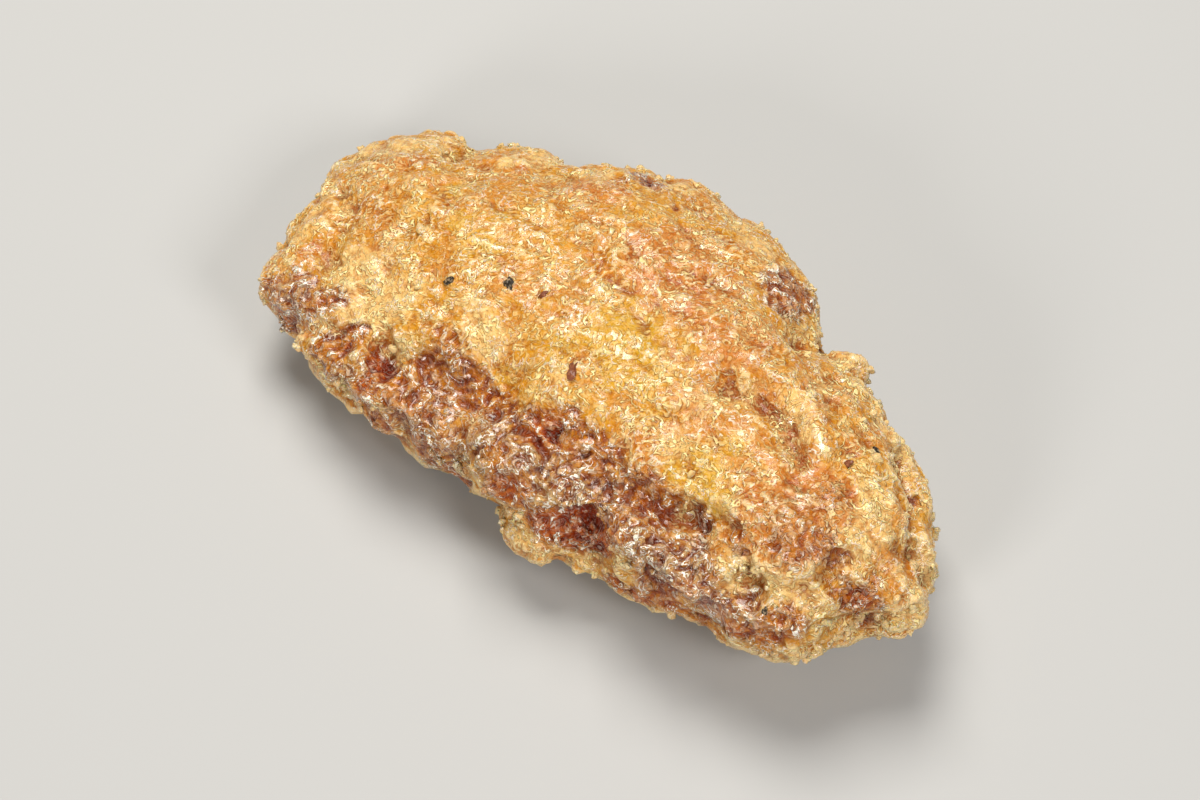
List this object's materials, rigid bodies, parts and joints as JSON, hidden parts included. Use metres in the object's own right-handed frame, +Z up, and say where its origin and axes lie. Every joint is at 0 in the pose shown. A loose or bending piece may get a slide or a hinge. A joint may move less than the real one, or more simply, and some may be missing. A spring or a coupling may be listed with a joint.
{
  "type": "fried chicken wing",
  "caption": "Fried chicken wing, the flat middle joint, lying on its side: golden craggy crust with a fold along the bone and knuckles at the elbow end.",
  "frame": {"origin": "middle of the footprint, on the surface that the wing lies on", "axes": "+X along the wing from the wrist end to the elbow end, +Y towards the long side away from the bone fold, +Z up"},
  "size_m": [0.0878, 0.0492, 0.0231],
  "materials": {
    "golden_crust": "crisp fried crust with an oily gloss"
  },
  "bodies": {
    "root": {"chicken_wing": "golden_crust"}
  },
  "joints": []
}
